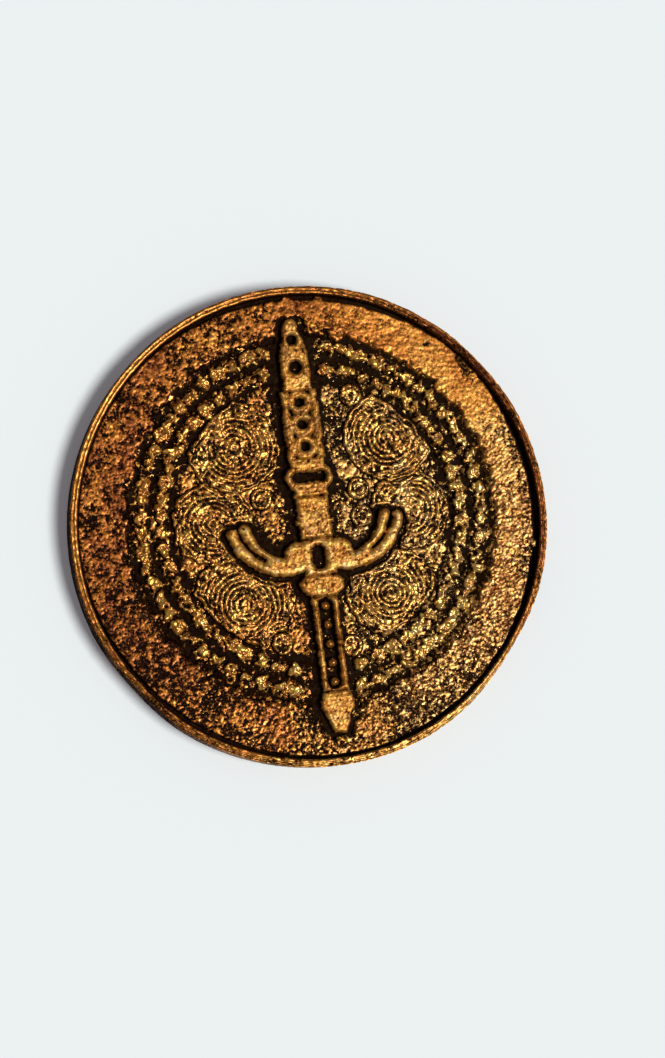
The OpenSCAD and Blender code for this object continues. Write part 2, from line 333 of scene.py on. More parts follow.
def bronze(name, roughness, grain, chip_depth, body, coat, glints):
    """Metallic print with black rubbed into it, wax and in places painted shade, driven by its black, tone
    and hue.

    grain is the depth of the fine bump in micrometres, chip_depth how strongly small crisp flecks stand
    out, body the share of plain unmetallic colour, coat how much of a clear gloss lies over it, and glints
    the noise level above which a bright speck shows: the lower, the more specks.
    """
    look = bpy.data.materials.new(name)
    look.use_nodes = True
    nodes, links = look.node_tree.nodes, look.node_tree.links
    shader = nodes["Principled BSDF"]
    place = nodes.new("ShaderNodeTexCoord")

    def mixed(factor, first, second):
        node = nodes.new("ShaderNodeMix")
        node.data_type = "RGBA"
        links.new(factor, node.inputs["Factor"])
        for socket, colour in ((node.inputs[6], first), (node.inputs[7], second)):
            if isinstance(colour, tuple):
                socket.default_value = (*colour, 1)
            else:
                links.new(colour, socket)
        return node.outputs[2]

    def combined(operation, first, second):
        node = nodes.new("ShaderNodeVectorMath")
        node.operation = operation
        for socket, value in zip(node.inputs, (first, second)):
            if isinstance(value, tuple):
                socket.default_value = value
            else:
                links.new(value, socket)
        return node.outputs[0]

    def noise(size_mm, detail, rough_amount):
        node = nodes.new("ShaderNodeTexNoise")
        node.inputs["Scale"].default_value = 1 / (size_mm * MM)
        node.inputs["Detail"].default_value = detail
        node.inputs["Roughness"].default_value = rough_amount
        links.new(place.outputs["Object"], node.inputs["Vector"])
        return node.outputs["Fac"]

    def maths(operation, a, b, clamp=False):
        node = nodes.new("ShaderNodeMath")
        node.operation, node.use_clamp = operation, clamp
        for socket, value in zip(node.inputs, (a, b)):
            if isinstance(value, (int, float)):
                socket.default_value = value
            else:
                links.new(value, socket)
        return node.outputs[0]

    def attribute(key):
        node = nodes.new("ShaderNodeAttribute")
        node.attribute_name = key
        return node.outputs["Fac"]

    def varied(key, source, amount):
        """An attribute shaken by a noise."""
        return maths("ADD", attribute(key), maths("MULTIPLY", maths("SUBTRACT", source, 0.5), amount))

    def mapped(value, low, high, low_out, high_out):
        node = nodes.new("ShaderNodeMapRange")
        node.interpolation_type = "SMOOTHSTEP"
        for socket, number in zip(node.inputs[1:5], (low, high, low_out, high_out)):
            socket.default_value = number
        links.new(value, node.inputs["Value"])
        return node.outputs["Result"]

    def scaled(colour, factor):
        node = nodes.new("ShaderNodeVectorMath")
        node.operation = "SCALE"
        links.new(colour, node.inputs[0])
        node.inputs["Scale"].default_value = factor
        return node.outputs[0]

    def ramp(value, stops):
        """Colour picked by a value; stops are (position, colour) pairs from 0 to 1."""
        node = nodes.new("ShaderNodeValToRGB")
        links.new(value, node.inputs["Fac"])
        elements = node.color_ramp.elements
        stops = list(stops)
        while len(elements) < len(stops):
            elements.new(0.5)
        for element, (position, colour) in zip(elements, stops):
            element.position = position
            element.color = (*colour, 1)
        return node.outputs["Color"]

    # noises, and two kinds of speck: glints, which no wax covers, and chips, which are light or dark
    fine = noise(0.11, 3, 0.65)
    fleck = noise(0.14, 3, 0.6)
    blush = noise(0.6, 2, 0.5)
    glint = mapped(noise(0.14, 1, 0.5), glints, glints + 0.07, 0.0, 1.0)
    glint = maths("MULTIPLY", glint, mapped(attribute("wax_and_shade"), 0.85, 1.05, 1.0, 0.0))
    chips = mapped(noise(0.20, 2, 0.6), 0.42, 0.58, -0.5, 0.5)
    # bare metal: its hue, times its tone, times a cast that comes and goes
    hue = ramp(varied("hue", blush, 0.5), METALS)
    tone = maths("ADD", varied("tone", fine, 0.7), maths("MULTIPLY", chips, chip_depth))
    tone = ramp(maths("ADD", tone, maths("MULTIPLY", glint, 0.6)), zip((0.0, 0.5, 1.0), TONES))
    cast = mixed(mapped(noise(0.27, 1, 0.5), 0.38, 0.62, 0.0, 1.0), PINK_CAST, OLIVE_CAST)
    metal = combined("MULTIPLY", scaled(hue, 2.0), tone)
    metal = combined("MULTIPLY", metal, cast)

    # black over it, wax and in places painted shade, which dulls it and takes its gloss away
    bare = maths("SUBTRACT", 1.0, maths("MULTIPLY", glint, 0.75))
    wax_and_shade = maths("SUBTRACT", varied("wax_and_shade", fleck, 0.9), maths("MULTIPLY", chips, chip_depth))
    wax_and_shade = maths("MULTIPLY", mapped(wax_and_shade, 0.30, 0.70, 0.0, 1.0), bare)
    waxed_and_shaded = combined("ADD", scaled(metal, WAX_SHEER), BLACK_WAX_AND_SHADE)
    links.new(mixed(wax_and_shade, metal, waxed_and_shaded), shader.inputs["Base Color"])
    clean = maths("SUBTRACT", 1.0, wax_and_shade)
    links.new(maths("MULTIPLY", clean, 1 - body), shader.inputs["Metallic"])
    links.new(maths("MULTIPLY", clean, coat), shader.inputs["Coat Weight"])
    shader.inputs["Coat Roughness"].default_value = 0.25
    shader.inputs["Specular IOR Level"].default_value = 0.015
    spark = maths("MULTIPLY", maths("SUBTRACT", fine, 0.5), -0.25)
    spark = maths("ADD", spark, maths("MULTIPLY", glint, -0.12))
    rough_value = maths("ADD", maths("ADD", spark, roughness), maths("MULTIPLY", wax_and_shade, 0.1), clamp=True)
    links.new(rough_value, shader.inputs["Roughness"])
    bump = nodes.new("ShaderNodeBump")
    bump.inputs["Strength"].default_value = 1.0
    bump.inputs["Distance"].default_value = grain * 1e-6
    links.new(noise(0.08, 2, 0.6), bump.inputs["Height"])
    links.new(bump.outputs["Normal"], shader.inputs["Normal"])
    return look


FIELD_LOOK = bronze("field_bronze", roughness=0.39, grain=10, chip_depth=0.22, body=0.12, coat=0.12,
                    glints=0.67)
RIM_LOOK = bronze("rim_bronze", roughness=0.38, grain=8, chip_depth=0.20, body=0.15, coat=0.16,
                  glints=0.66)
MARK_LOOK = bronze("mark_gold", roughness=0.29, grain=8, chip_depth=0.16, body=0.30, coat=0.26,
                   glints=0.63)
RIPPLE_LOOK = bronze("ripple_bronze", roughness=0.31, grain=12, chip_depth=0.22, body=0.28, coat=0.26,
                     glints=0.63)
SWORD_LOOK = bronze("sword_gold", roughness=0.42, grain=14, chip_depth=0.12, body=0.45, coat=0.06,
                    glints=0.68)
FLOOR_LOOK = bronze("sunk_black", roughness=0.38, grain=12, chip_depth=0.30, body=0.20, coat=0.20,
                    glints=0.62)


# ---- surfaces -------------------------------------------------------------------------------------------

def edge_round(depth, width, keep):
    """Height share, 0 to 1, of a top that falls off towards its border; keep is left at the border."""
    t = np.clip(-depth / width, 0, 1)
    return keep + (1 - keep) * np.sqrt(1 - (1 - t) ** 2)


def printed_lines(across):
    """1 on the middle of each printed line and -1 between two; across counts millimetres over them."""
    return np.cos(across / TOOLPATH * 2 * math.pi)


def ridges_over(x, y, across, seed):
    """Printed lines, about -1 to 1, that wander a little and break into beads along their length."""
    wander = 0.07 * lumps(x, y, 1.1, seed) + 0.05 * lumps(x, y, 0.4, seed + 1)
    ridge = printed_lines(across + wander)
    strength = np.clip(0.75 + 0.6 * lumps(x, y, 0.9, seed + 3), 0.25, 1.1)
    return 0.75 * ridge * strength + 0.75 * rough(x, y, 0.36, seed + 2, 2)


def place_hue(x, y):
    """How the colour changes over the token: copper on the left, orange upper right, olive gold right.

    This is partly the bronze's own colour and partly painted light and shade, as each side looked under the
    key light.
    """
    hue = 0.42 - 0.42 * near_angle(x, y, 170, 62) + 0.12 * near_angle(x, y, 60, 40)
    return hue + 0.55 * near_angle(x, y, 345, 52) + 0.15 * near_angle(x, y, 285, 40)


def field_surface(x, y, depth):
    """Mottled border band: leathery copper left, smooth orange upper right, grainy olive gold right."""
    r = np.hypot(x, y)
    upper_right = near_angle(x, y, 52, 36)
    right = near_angle(x, y, 345, 38)
    lower_left = near_angle(x, y, 228, 32)
    left = near_angle(x, y, 165, 62)
    bottom = near_angle(x, y, 285, 42)
    worn = near_angle(x, y, *WORN_SIDE)
    inner_side = smooth_step(17.2, 16.6, r)

    # short mottling, curling veins, printed lines, fine grain, broad patches and flat chips
    stretch = 1 + 0.8 * upper_right + 0.3 * right
    mottle = rough(x / stretch, y, 0.40 - 0.16 * bottom - 0.14 * right, 5, 3)
    curls = smooth_step(0.0, 0.38, np.abs(rough(x, y, 0.46, 7, 2)))
    lines = printed_lines(y + 0.07 * lumps(x, y, 0.8, 9)) * np.clip(0.5 + lumps(x, y, 2.2, 37), 0, 1)
    grain = rough(x, y, 0.19, 23, 2)
    patch = rough(x, y, 2.6, 31, 3)
    chip, shade = facets(x, y, 0.21, 27)
    bumps = (0.80 - 0.25 * upper_right - 0.10 * right) * mottle + 0.62 * grain * (1 - 0.3 * left)
    bumps = bumps + (0.05 + 0.04 * right + 0.10 * upper_right) * lines + 0.6 * left * (curls - 0.6)
    crisp = 0.15 + 0.65 * right + 0.50 * bottom + 0.45 * worn + 0.15 * left - 0.1 * upper_right

    share = inner_side * edge_round(depth, 0.5, 0.1) + (1 - inner_side) * edge_round(depth, 0.12, 0.4)
    relief = 0.022 + 0.006 * right + 0.012 * bottom - 0.006 * upper_right
    height = FLOOR_Z + BAND_H * share + relief * bumps + 0.14 * crisp * chip

    # black: by side, partly painted shade, then in the hollows, then along both borders, then black spots
    # and a dull outer edge
    wax_and_shade = 0.38 + 0.03 * left + 0.25 * lower_left + 0.10 * bottom - 0.20 * upper_right - 0.14 * right
    wax_and_shade = wax_and_shade - 0.07 * near_angle(x, y, 250, 20) + 0.16 * near_angle(x, y, 302, 15)
    wax_and_shade = wax_and_shade + 0.13 * near_angle(x, y, 93, 17) + 0.06 * near_angle(x, y, 210, 20)
    wax_and_shade = wax_and_shade + 0.17 * patch - 0.46 * bumps - 0.26 * crisp * shade + 0.05 * worn
    most = 0.78 - 0.52 * upper_right - 0.36 * right - 0.12 * bottom + 0.04 * worn + 0.22 * patch
    wax_and_shade = np.minimum(wax_and_shade, most)
    inner_soot = inner_side * (1 - 0.5 * worn) * (1 - 0.4 * upper_right)
    outer_soot = (1 - inner_side) * (1 - 0.8 * upper_right)
    wax_and_shade = wax_and_shade + 0.40 * smooth_step(0.6, 0.0, -depth) * inner_soot
    wax_and_shade = wax_and_shade + 0.45 * smooth_step(0.10, 0.02, -depth) * outer_soot
    spots = near_angle(x, y, 52, 9) * smooth_step(17.6, 18.4, r)
    spots = spots * smooth_step(-0.1, 0.4, lumps(x, y, 1.1, 39))
    dull = near_angle(x, y, 2, 34) * smooth_step(17.7, 18.4, r)
    wax_and_shade = wax_and_shade + 0.22 * dull + 0.9 * spots

    # tone by side is partly painted light and shade, set as each side looked under the key light
    tone = 0.32 + 0.09 * upper_right - 0.07 * right - 0.10 * left - 0.12 * bottom - 0.10 * lower_left
    tone = tone + 0.26 * mottle * (1 - 0.35 * upper_right) + 0.22 * grain + 0.10 * patch - 0.12 * dull
    tone = tone + 0.26 * left * (curls - 0.65) + 0.32 * crisp * shade + 0.02 * worn
    hue = place_hue(x, y) + 0.12 * patch + left * (0.15 + 0.26 * lumps(x, y, 0.9, 43))
    hue = np.minimum(hue + 0.14 * crisp * shade + 0.08 * worn, 0.86 + 0.1 * shade)
    return height, wax_and_shade, tone, hue


def floor_surface(x, y, depth):
    """Sunk floor: black beside the blade and round the marks, speckled with bronze elsewhere.

    Beside the sword the black is wax, widened on its left by painted shadow.
    """
    r = np.hypot(x, y)
    ring_r = np.hypot(x - RING_X, y - RING_Y)
    gap = sword_distance(x, y)
    side = x - 0.4 + 0.13 * y           # how far to the right of the leaning sword
    right = smooth_step(-1, 3, side)
    worn = near_angle(x, y, *WORN_SIDE)
    # the sword's left, away from the key light, where painted shadow widens the black
    by_blade = smooth_step(0.5, -0.5, side) * smooth_step(-5, -2, y)
    by_pommel = smooth_step(2.4, 1.6, x) * (y < -13)
    sword_shadow_side = by_blade + 0.8 * by_pommel

    grain = rough(x, y, 0.22, 41, 3)
    patch = rough(x, y, 1.4, 47, 2)
    sway = ring_r + 0.15 * lumps(x, y, 1.0, 45)
    moats = sum(np.exp(-((sway - edge) / 0.22) ** 2) for edge in MOATS)
    fillet = smooth_step(14.4, 15.7, ring_r) * (0.3 + 0.7 * worn) * smooth_step(18.2, 17.2, r)
    height = FLOOR_Z + 0.05 * grain + 0.22 * fillet - 0.06 * moats

    # black: sooty upper left, beside the sword (wax, widened on its left by painted shadow), in the moats,
    # and among the marks except for a few crumbs
    sooty = near_angle(x, y, 140, 70) * smooth_step(11.0, 11.8, ring_r)
    # black beside the sword: wax in the recess, made wider on the sword's left as painted shadow
    wax_and_shadow_by_sword = smooth_step(0.65 + 1.4 * sword_shadow_side, 0.35, gap)
    crumbs = smooth_step(0.25, 0.6, rough(x, y, 0.42, 49, 3))
    dots = smooth_step(0.36, 0.60, rough(x, y, 0.25, 51, 2)) * sword_shadow_side
    wax_and_shade = 0.64 - 0.12 * worn + 0.26 * sooty + 0.62 * wax_and_shadow_by_sword - 0.20 * patch - 0.50 * grain
    wax_and_shade = wax_and_shade + 0.50 * moats * (1 - 0.5 * worn)
    wax_and_shade = wax_and_shade + smooth_step(10.8, 11.4, ring_r) * (0.42 * (1 - 0.4 * worn) - 0.75 * crumbs)
    wax_and_shade = wax_and_shade - 0.14 * sword_shadow_side * smooth_step(0.7, 1.1, gap) - 0.60 * dots * smooth_step(0.45, 0.8, gap)
    groove = r > 17.3
    wax_and_shade = np.where(groove, 1.3, wax_and_shade)

    tone = 0.30 + 0.08 * right + 0.30 * grain + 0.35 * dots
    return height, wax_and_shade, tone, 0.50 + 0.35 * right + 0.2 * dots


def mark_surface(seed):
    """Rough marks: flat-topped blobs of tilted chips, black at the foot."""
    def surface(x, y, depth):
        worn = near_angle(x, y, 325, 50)
        grain = rough(x, y, 0.2, seed, 2)
        lump = rough(x, y, 0.42, seed + 6, 2)
        chip, shade = facets(x, y, 0.27, seed + 3)
        share = edge_round(depth, 0.20, 0.1)
        height = FLOOR_Z + MARK_H * share * (1 + 0.20 * lump) - 0.05 * (1 - share) + 0.26 * chip * share
        wax_and_shade = 0.94 - 0.92 * smooth_step(0.0, 0.15, -depth) - 0.26 * lump - 0.30 * shade - 0.24 * grain
        tone = 0.68 + 0.28 * lump + 0.36 * shade + 0.20 * grain + 0.16 * worn
        hue = 0.70 + 0.14 * near_angle(x, y, 350, 60) - 0.20 * near_angle(x, y, 160, 70) + 0.12 * shade
        return height, wax_and_shade, tone, hue
    return surface


def panel_surface(whorls, seed):
    """Ridges that circle round several centres, with one loop along the panel's border."""
    def surface(x, y, depth):
        turns = np.min([np.hypot(x - cx, y - cy) - swell for cx, cy, swell in whorls], axis=0)
        across = np.where(-depth < 1.5 * TOOLPATH, -depth - TOOLPATH / 2, turns)
        ridges = ridges_over(x, y, across, seed)
        grain = rough(x, y, 0.17, seed + 5, 2)
        patch = rough(x, y, 1.3, seed + 7, 2)
        chip, shade = facets(x, y, 0.25, seed + 3)
        share = edge_round(depth, 0.3, 0.2)
        height = FLOOR_Z + PANEL_H * share + 0.052 * ridges + 0.010 * grain + 0.14 * chip
        wax_and_shade = 0.46 - 0.58 * ridges - 0.26 * grain - 0.18 * shade + 0.16 * patch
        wax_and_shade = np.minimum(wax_and_shade, 0.84 + 0.2 * patch) + 0.5 * smooth_step(0.16, 0.0, -depth)
        tone = 0.44 + 0.16 * ridges + 0.16 * grain + 0.24 * shade + 0.12 * lumps(x, y, 2.0, seed + 9)
        hue = 0.60 + 0.20 * smooth_step(-6, 8, x) + 0.15 * lumps(x, y, 1.2, seed + 11)
        return height, wax_and_shade, tone, hue
    return surface


def sword_surface(seed, edge, crest_highlight=0.0):
    """Smooth worn top with a border rounded over edge; crest_highlight paints a highlight on a line inside
    the border, raising its tone and hue.
    """
    def surface(x, y, depth):
        ridge = printed_lines(-depth - TOOLPATH / 2)
        grain = rough(x, y, 0.24, seed, 3)
        swell = lumps(x, y, 0.8, seed + 7)
        chip, shade = facets(x, y, 0.24, seed + 9)
        share = edge_round(depth, edge, 0.4)
        height = FLOOR_Z + SWORD_H * share + 0.005 * ridge + 0.012 * grain + 0.008 * swell + 0.07 * chip
        # crest: the line inside the border that gets the painted highlight
        crest = smooth_step(0.16, 0.34, -depth) * smooth_step(0.75, 0.5, -depth)
        wax_and_shade = 0.09 + 0.75 * smooth_step(0.10, 0.0, -depth) - 0.04 * ridge - 0.36 * grain - 0.18 * shade
        tone = 0.40 + 0.38 * grain + 0.24 * shade + 0.05 * ridge + 0.12 * lumps(x, y, 1.4, seed + 3)
        hue = 0.72 + 0.12 * lumps(x, y, 1.1, seed + 5)
        return height, wax_and_shade, tone + crest_highlight * crest, hue + 0.4 * crest_highlight * crest
    return surface


def bead_surface(x, y, depth):
    """Small domes with black round the foot."""
    grain = rough(x, y, 0.2, 83, 2)
    height = FLOOR_Z + BEAD_H * edge_round(depth, 0.45, 0.1) + 0.01 * grain
    wax_and_shade = 1.1 - 1.3 * smooth_step(0.0, 0.3, -depth) - 0.15 * grain
    return height, wax_and_shade, 0.42 + 0.15 * grain, np.full(x.shape, 0.6)


# ---- pieces ---------------------------------------------------------------------------------------------

def top_above_floor(node):
    """How far a node's top stands above the sunk floor."""
    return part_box(node)[1].z / MM - FLOOR_Z


BAND_H = top_above_floor("border_band")
MARK_H = top_above_floor("outer_mark_ring")
PANEL_H = top_above_floor("left_ripple_upper")
SWORD_H = top_above_floor("crossguard")
BEAD_H = top_above_floor("grip_beads")

MARK_RINGS = ("outer_mark_ring", "inner_mark_ring")
RING_X, RING_Y = (sum(corner[i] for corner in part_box(MARK_RINGS[0])) / 2 / MM for i in (0, 1))
MIDDLES = [np.hypot(*(outline(node).reshape(-1, 2) - (RING_X, RING_Y)).T).mean() for node in MARK_RINGS]
MOATS = (MIDDLES[0] + 0.85, sum(MIDDLES) / 2, MIDDLES[1] - 0.85)    # black lines beside the rings of marks
SWORD = ("blade_point", "blade_openwork", "blade_collar", "blade_base", "crossguard", "grip_collar",
         "grip_frame", "pommel")


def sword_map():
    """Distance to the sword on a coarse grid over the whole face: grid lines and distances."""
    xs = np.arange(-FIELD_R - 1, FIELD_R + 1, SWORD_MAP_STEP)
    parts = [signed_distance(outline(node), xs, xs, 2.5) for node in SWORD]
    return xs, np.min(parts, axis=0)


SWORD_MAP = sword_map()


def sword_distance(x, y):
    """Distance to the sword at any points, read off the coarse grid."""
    xs, distances = SWORD_MAP
    step = xs[1] - xs[0]
    last = len(xs) - 2
    u, v = (x - xs[0]) / step, (y - xs[0]) / step
    i, j = np.clip(u.astype(int), 0, last), np.clip(v.astype(int), 0, last)
    fu, fv = u - i, v - j
    low = distances[j, i] * (1 - fu) + distances[j, i + 1] * fu
    high = distances[j + 1, i] * (1 - fu) + distances[j + 1, i + 1] * fu
    return low * (1 - fv) + high * fv


def relief_of(node, step, reach, surface, look, wobble, grow=0.0, seed=0):
    """Relief piece over a CAD node's own outline, its border shaken by wobble and moved out by grow.

    reach is the greatest distance from the border that the surface needs to tell apart.
    """
    segments = outline(node)
    xs, ys = grid_over(segments, step)
    distance = signed_distance(segments, xs, ys, reach)
    x, y = np.meshgrid(xs, ys)
    distance = distance - grow + wobble * rough(x, y, 0.6, 100 + seed, 2)
    add_relief(node + "_relief", node, distance, xs, ys, ROOT_Z, surface, look)


def add_band():
    """The border band, ragged inside; on the left it closes the groove and meets the rim."""
    segments = outline("border_band")
    xs, ys = grid_over(segments, BAND_STEP, 0.4)
    distance = signed_distance(segments, xs, ys, 0.8)
    x, y = np.meshgrid(xs, ys)
    r = np.hypot(x, y)
    outer = smooth_step(FIELD_R - 1.5, FIELD_R - 1.0, r)
    closed = 1.7 * near_angle(x, y, 165, 42) + near_angle(x, y, 50, 17) + 0.7 * near_angle(x, y, 285, 38)
    bridge_angles = (96, 88, -3.5)
    bridges = sum(smooth_step(0.1, 0.8, near_angle(x, y, angle, 1.2)) for angle in bridge_angles)
    closed = np.clip(closed + (1.3 + lumps(x, y, 0.6, 33)) * bridges, 0, 2.2) * outer
    ragged = (0.36 * rough(x, y, 0.8, 3, 3) + 0.20 * rough(x, y, 0.34, 8, 2)) * (1 - outer)
    ragged = ragged + 0.05 * rough(x, y, 0.5, 3, 2)
    distance = np.maximum(distance - 0.32 * closed + ragged, r - FIELD_R - 0.02)
    add_relief("border_band_relief", "border_band", distance, xs, ys, SHELL, field_surface, FIELD_LOOK)


def add_floor():
    """The sunk floor, left out where it would lie well inside the band."""
    xs = np.arange(-FIELD_R - 0.3, FIELD_R + 0.3, FLOOR_STEP)
    under_band = signed_distance(outline("border_band"), xs, xs, 0.9) + 0.75
    x, y = np.meshgrid(xs, xs)
    disc = np.hypot(x, y) - FIELD_R - 0.1
    distance = np.maximum(disc, -under_band)
    add_relief("sunk_floor", "blank", distance, xs, xs, SHELL, floor_surface, FLOOR_LOOK)


def ring_piece(name, profile, turns, shape, tint, node, look):
    """A closed ring in a node's place. profile is a list of (radius, height) round its section.

    shape(angle, r, z) gives the moved radius and height, and tint(angle, r, z) the black (wax and painted
    shade), tone and hue.
    """
    profile = np.array(profile)
    angle = np.arange(turns) * 2 * math.pi / turns
    a, r = np.meshgrid(angle, profile[:, 0], indexing="ij")
    z = np.broadcast_to(profile[:, 1], r.shape)
    r, z = shape(a, r, z)
    wax_and_shade, tone, hue = tint(a, r, z)
    corners = np.stack([r * np.cos(a), r * np.sin(a), z], -1).reshape(-1, 3)
    count = len(profile)
    faces = []
    for i in range(turns):
        j = (i + 1) % turns
        for k in range(count):
            m = (k + 1) % count
            faces.append([i * count + k, j * count + k, j * count + m, i * count + m])
    piece = make_piece(name, corners, faces, {"wax_and_shade": wax_and_shade.ravel(), "tone": tone.ravel(), "hue": hue.ravel()})
    finish_piece(piece, node, look)


def rim_profile():
    """Rim's section: layered outer wall, two beads on top, inner wall, and two lines underneath."""
    points = []
    layers = round(RIM_TOP / LAYER)
    for k in range(layers):
        for share, inset in ((0.0, 0.05), (0.2, 0.018), (0.5, 0.0), (0.8, 0.018)):
            in_top_beads = k == layers - 1 and share > 0.6
            if not in_top_beads:
                points.append((EDGE_R - inset, (k + share) * LAYER))
    for along in np.linspace(0, 1, 15):
        bead = abs(math.sin(along ** 0.8 * 2 * math.pi))
        rounding = 0.10 * (abs(2 * along - 1) ** 4)
        r = EDGE_R - 0.03 - along * (EDGE_R - 0.06 - FIELD_R)
        points.append((r, RIM_TOP - 0.07 + 0.07 * bead - rounding))
    for z in np.arange(RIM_TOP - 0.2, SHELL, -0.1):
        points.append((FIELD_R + 0.015 * math.cos(z / LAYER * 2 * math.pi), z))
    for inset, z in ((0.0, 0.06), (0.05, 0.0), (0.33, 0.0), (0.36, 0.03), (0.40, 0.0)):
        points.append((FIELD_R + inset, z))
    points.append((EDGE_R - 0.06, 0.0))
    return points


def rim_shape(a, r, z):
    """Flat spots in the outline, rough beads on top, and slanted hatching where the end of a line shows."""
    x, y = r * np.cos(a), r * np.sin(a)
    outer = smooth_step(FIELD_R + 0.2, EDGE_R, r)
    top = smooth_step(RIM_TOP - 0.35, RIM_TOP - 0.05, z)
    crown = top * smooth_step(0.10, 0.0, RIM_TOP - z)
    left = near_angle(x, y, 165, 50)
    bottom = near_angle(x, y, 280, 30)
    line_ends = near_angle(x, y, 300, 16) + near_angle(x, y, 112, 12)

    dents = 0.34 * near_angle(x, y, 326, 16) + 0.16 * near_angle(x, y, 222, 13)
    dents = dents + 0.08 * near_angle(x, y, 45, 8)
    wobble = 0.05 * lumps(x, y, 4.5, 201) - dents + 0.03 * rough(x + 9 * z, y - 7 * z, 0.5, 203, 2) * outer

    hatch = np.cos(a * EDGE_R / 0.32 + (r - FIELD_R) * 7)
    lumpy = rough(x, y, 0.30, 207, 3)
    chip, _ = facets(x, y, 0.24, 217)
    smear = 0.05 * crown * (1 - left) * (0.5 - np.abs(lumps(x, y, 0.5, 209)))
    lift = 0.034 * lumpy + 0.030 * line_ends * hatch + (0.04 + 0.16 * bottom) * chip
    z = z + top * lift - 0.034 * top
    z = np.minimum(z - np.maximum(smear, 0), RIM_TOP)
    return r + np.minimum(wobble, 0.0) * (0.4 + 0.6 * outer), z


def rim_tint(a, r, z):
    """Two bright lines left, tan top, red-brown upper right, pale lower right, mottled bottom.

    The bright left top and the light outer edge on the right and upper right are painted highlight; the dark
    left outer wall is painted shade.
    """
    x, y = r * np.cos(a), r * np.sin(a)
    left = near_angle(x, y, 154, 56)
    upper_right = near_angle(x, y, 48, 24)
    right = near_angle(x, y, 2, 26)
    lower_right = near_angle(x, y, 318, 18)
    bottom = near_angle(x, y, 282, 26)
    lower_left = near_angle(x, y, 228, 16)

    # places on the rim's section: along runs from 0 at the outer wall to 1 at the inner wall
    along = (EDGE_R - r) / (EDGE_R - FIELD_R)
    top = smooth_step(RIM_TOP - 0.16, RIM_TOP - 0.05, z)
    outer_edge = smooth_step(0.40, 0.15, along)
    inner_wall = (r < FIELD_R + 0.12) & (z < RIM_TOP - 0.1)
    layer_gap = smooth_step(0.02, 0.05, EDGE_R - r) * (z < RIM_TOP - 0.3)
    valley = np.exp(-((along - 0.42) / 0.08) ** 2) * top
    # shaded: painted shade, black laid on the left outer wall, which faces away from the key light
    shaded = near_angle(x, y, 165, 60) * (along < 0.12) * smooth_step(0.10, 0.25, RIM_TOP - z)

    grain = rough(x + 5 * z, y - 6 * z, 0.20, 211, 3)
    patch = rough(x, y, 1.6, 213, 2)
    mottle = smooth_step(0.2, 0.7, -rough(x, y, 0.36, 215, 2))
    _, shade = facets(x, y, 0.24, 217)

    wax_and_shade = 0.34 + 0.25 * layer_gap - 0.30 * grain * (1 - 0.6 * left) - 0.28 * top * left + 0.14 * patch
    wax_and_shade = wax_and_shade + 0.45 * valley * (0.15 + 0.85 * left) + 0.22 * lower_left - 0.10 * bottom - 0.16 * lower_right
    # the 0.75 * shaded term is painted shade on the left outer wall
    wax_and_shade = wax_and_shade + upper_right * top * (0.20 - 0.38 * outer_edge) - 0.08 * right * top + 0.75 * shaded
    wax_and_shade = np.where(inner_wall, 1.0 - 0.45 * upper_right, wax_and_shade + 0.30 * bottom * top * mottle)
    wax_and_shade = wax_and_shade - 0.20 * bottom * top * (shade + grain)

    # tone: the brighter top on the left and the lighter outer edge on the right and upper right are painted
    # highlight, where those faces catch the key light
    tone = 0.34 + 0.44 * left * top - 0.04 * left + 0.20 * lower_right + 0.14 * bottom - 0.10 * lower_left
    tone = tone + upper_right * (0.52 * outer_edge - 0.18) + right * (0.30 * outer_edge - 0.10)
    tone = tone + 0.26 * bottom * shade + (0.20 + 0.22 * bottom) * grain

    hue = 0.45 + 0.03 * left + 0.40 * lower_right + 0.28 * bottom + 0.12 * bottom * shade + 0.1 * patch
    hue = hue - 0.35 * (upper_right + right) * (1 - outer_edge)
    return wax_and_shade, tone, hue


def add_rim():
    ring_piece("rim_ring", rim_profile(), RIM_TURNS, rim_shape, rim_tint, "rim", RIM_LOOK)


def line_section(base):
    """Underside of one printed line that starts at base: (place, height) of its four points."""
    return [(base, 0.05), (base + 0.06, 0.004), (base + 0.21, 0.0), (base + 0.36, 0.004)]


def add_reverse():
    """Flat first layers: diagonal lines inside a few loops that follow the edge."""
    loops = 4
    disc_r = FIELD_R - loops * TOOLPATH
    add_reverse_lines(disc_r)
    add_reverse_loops(disc_r, loops)


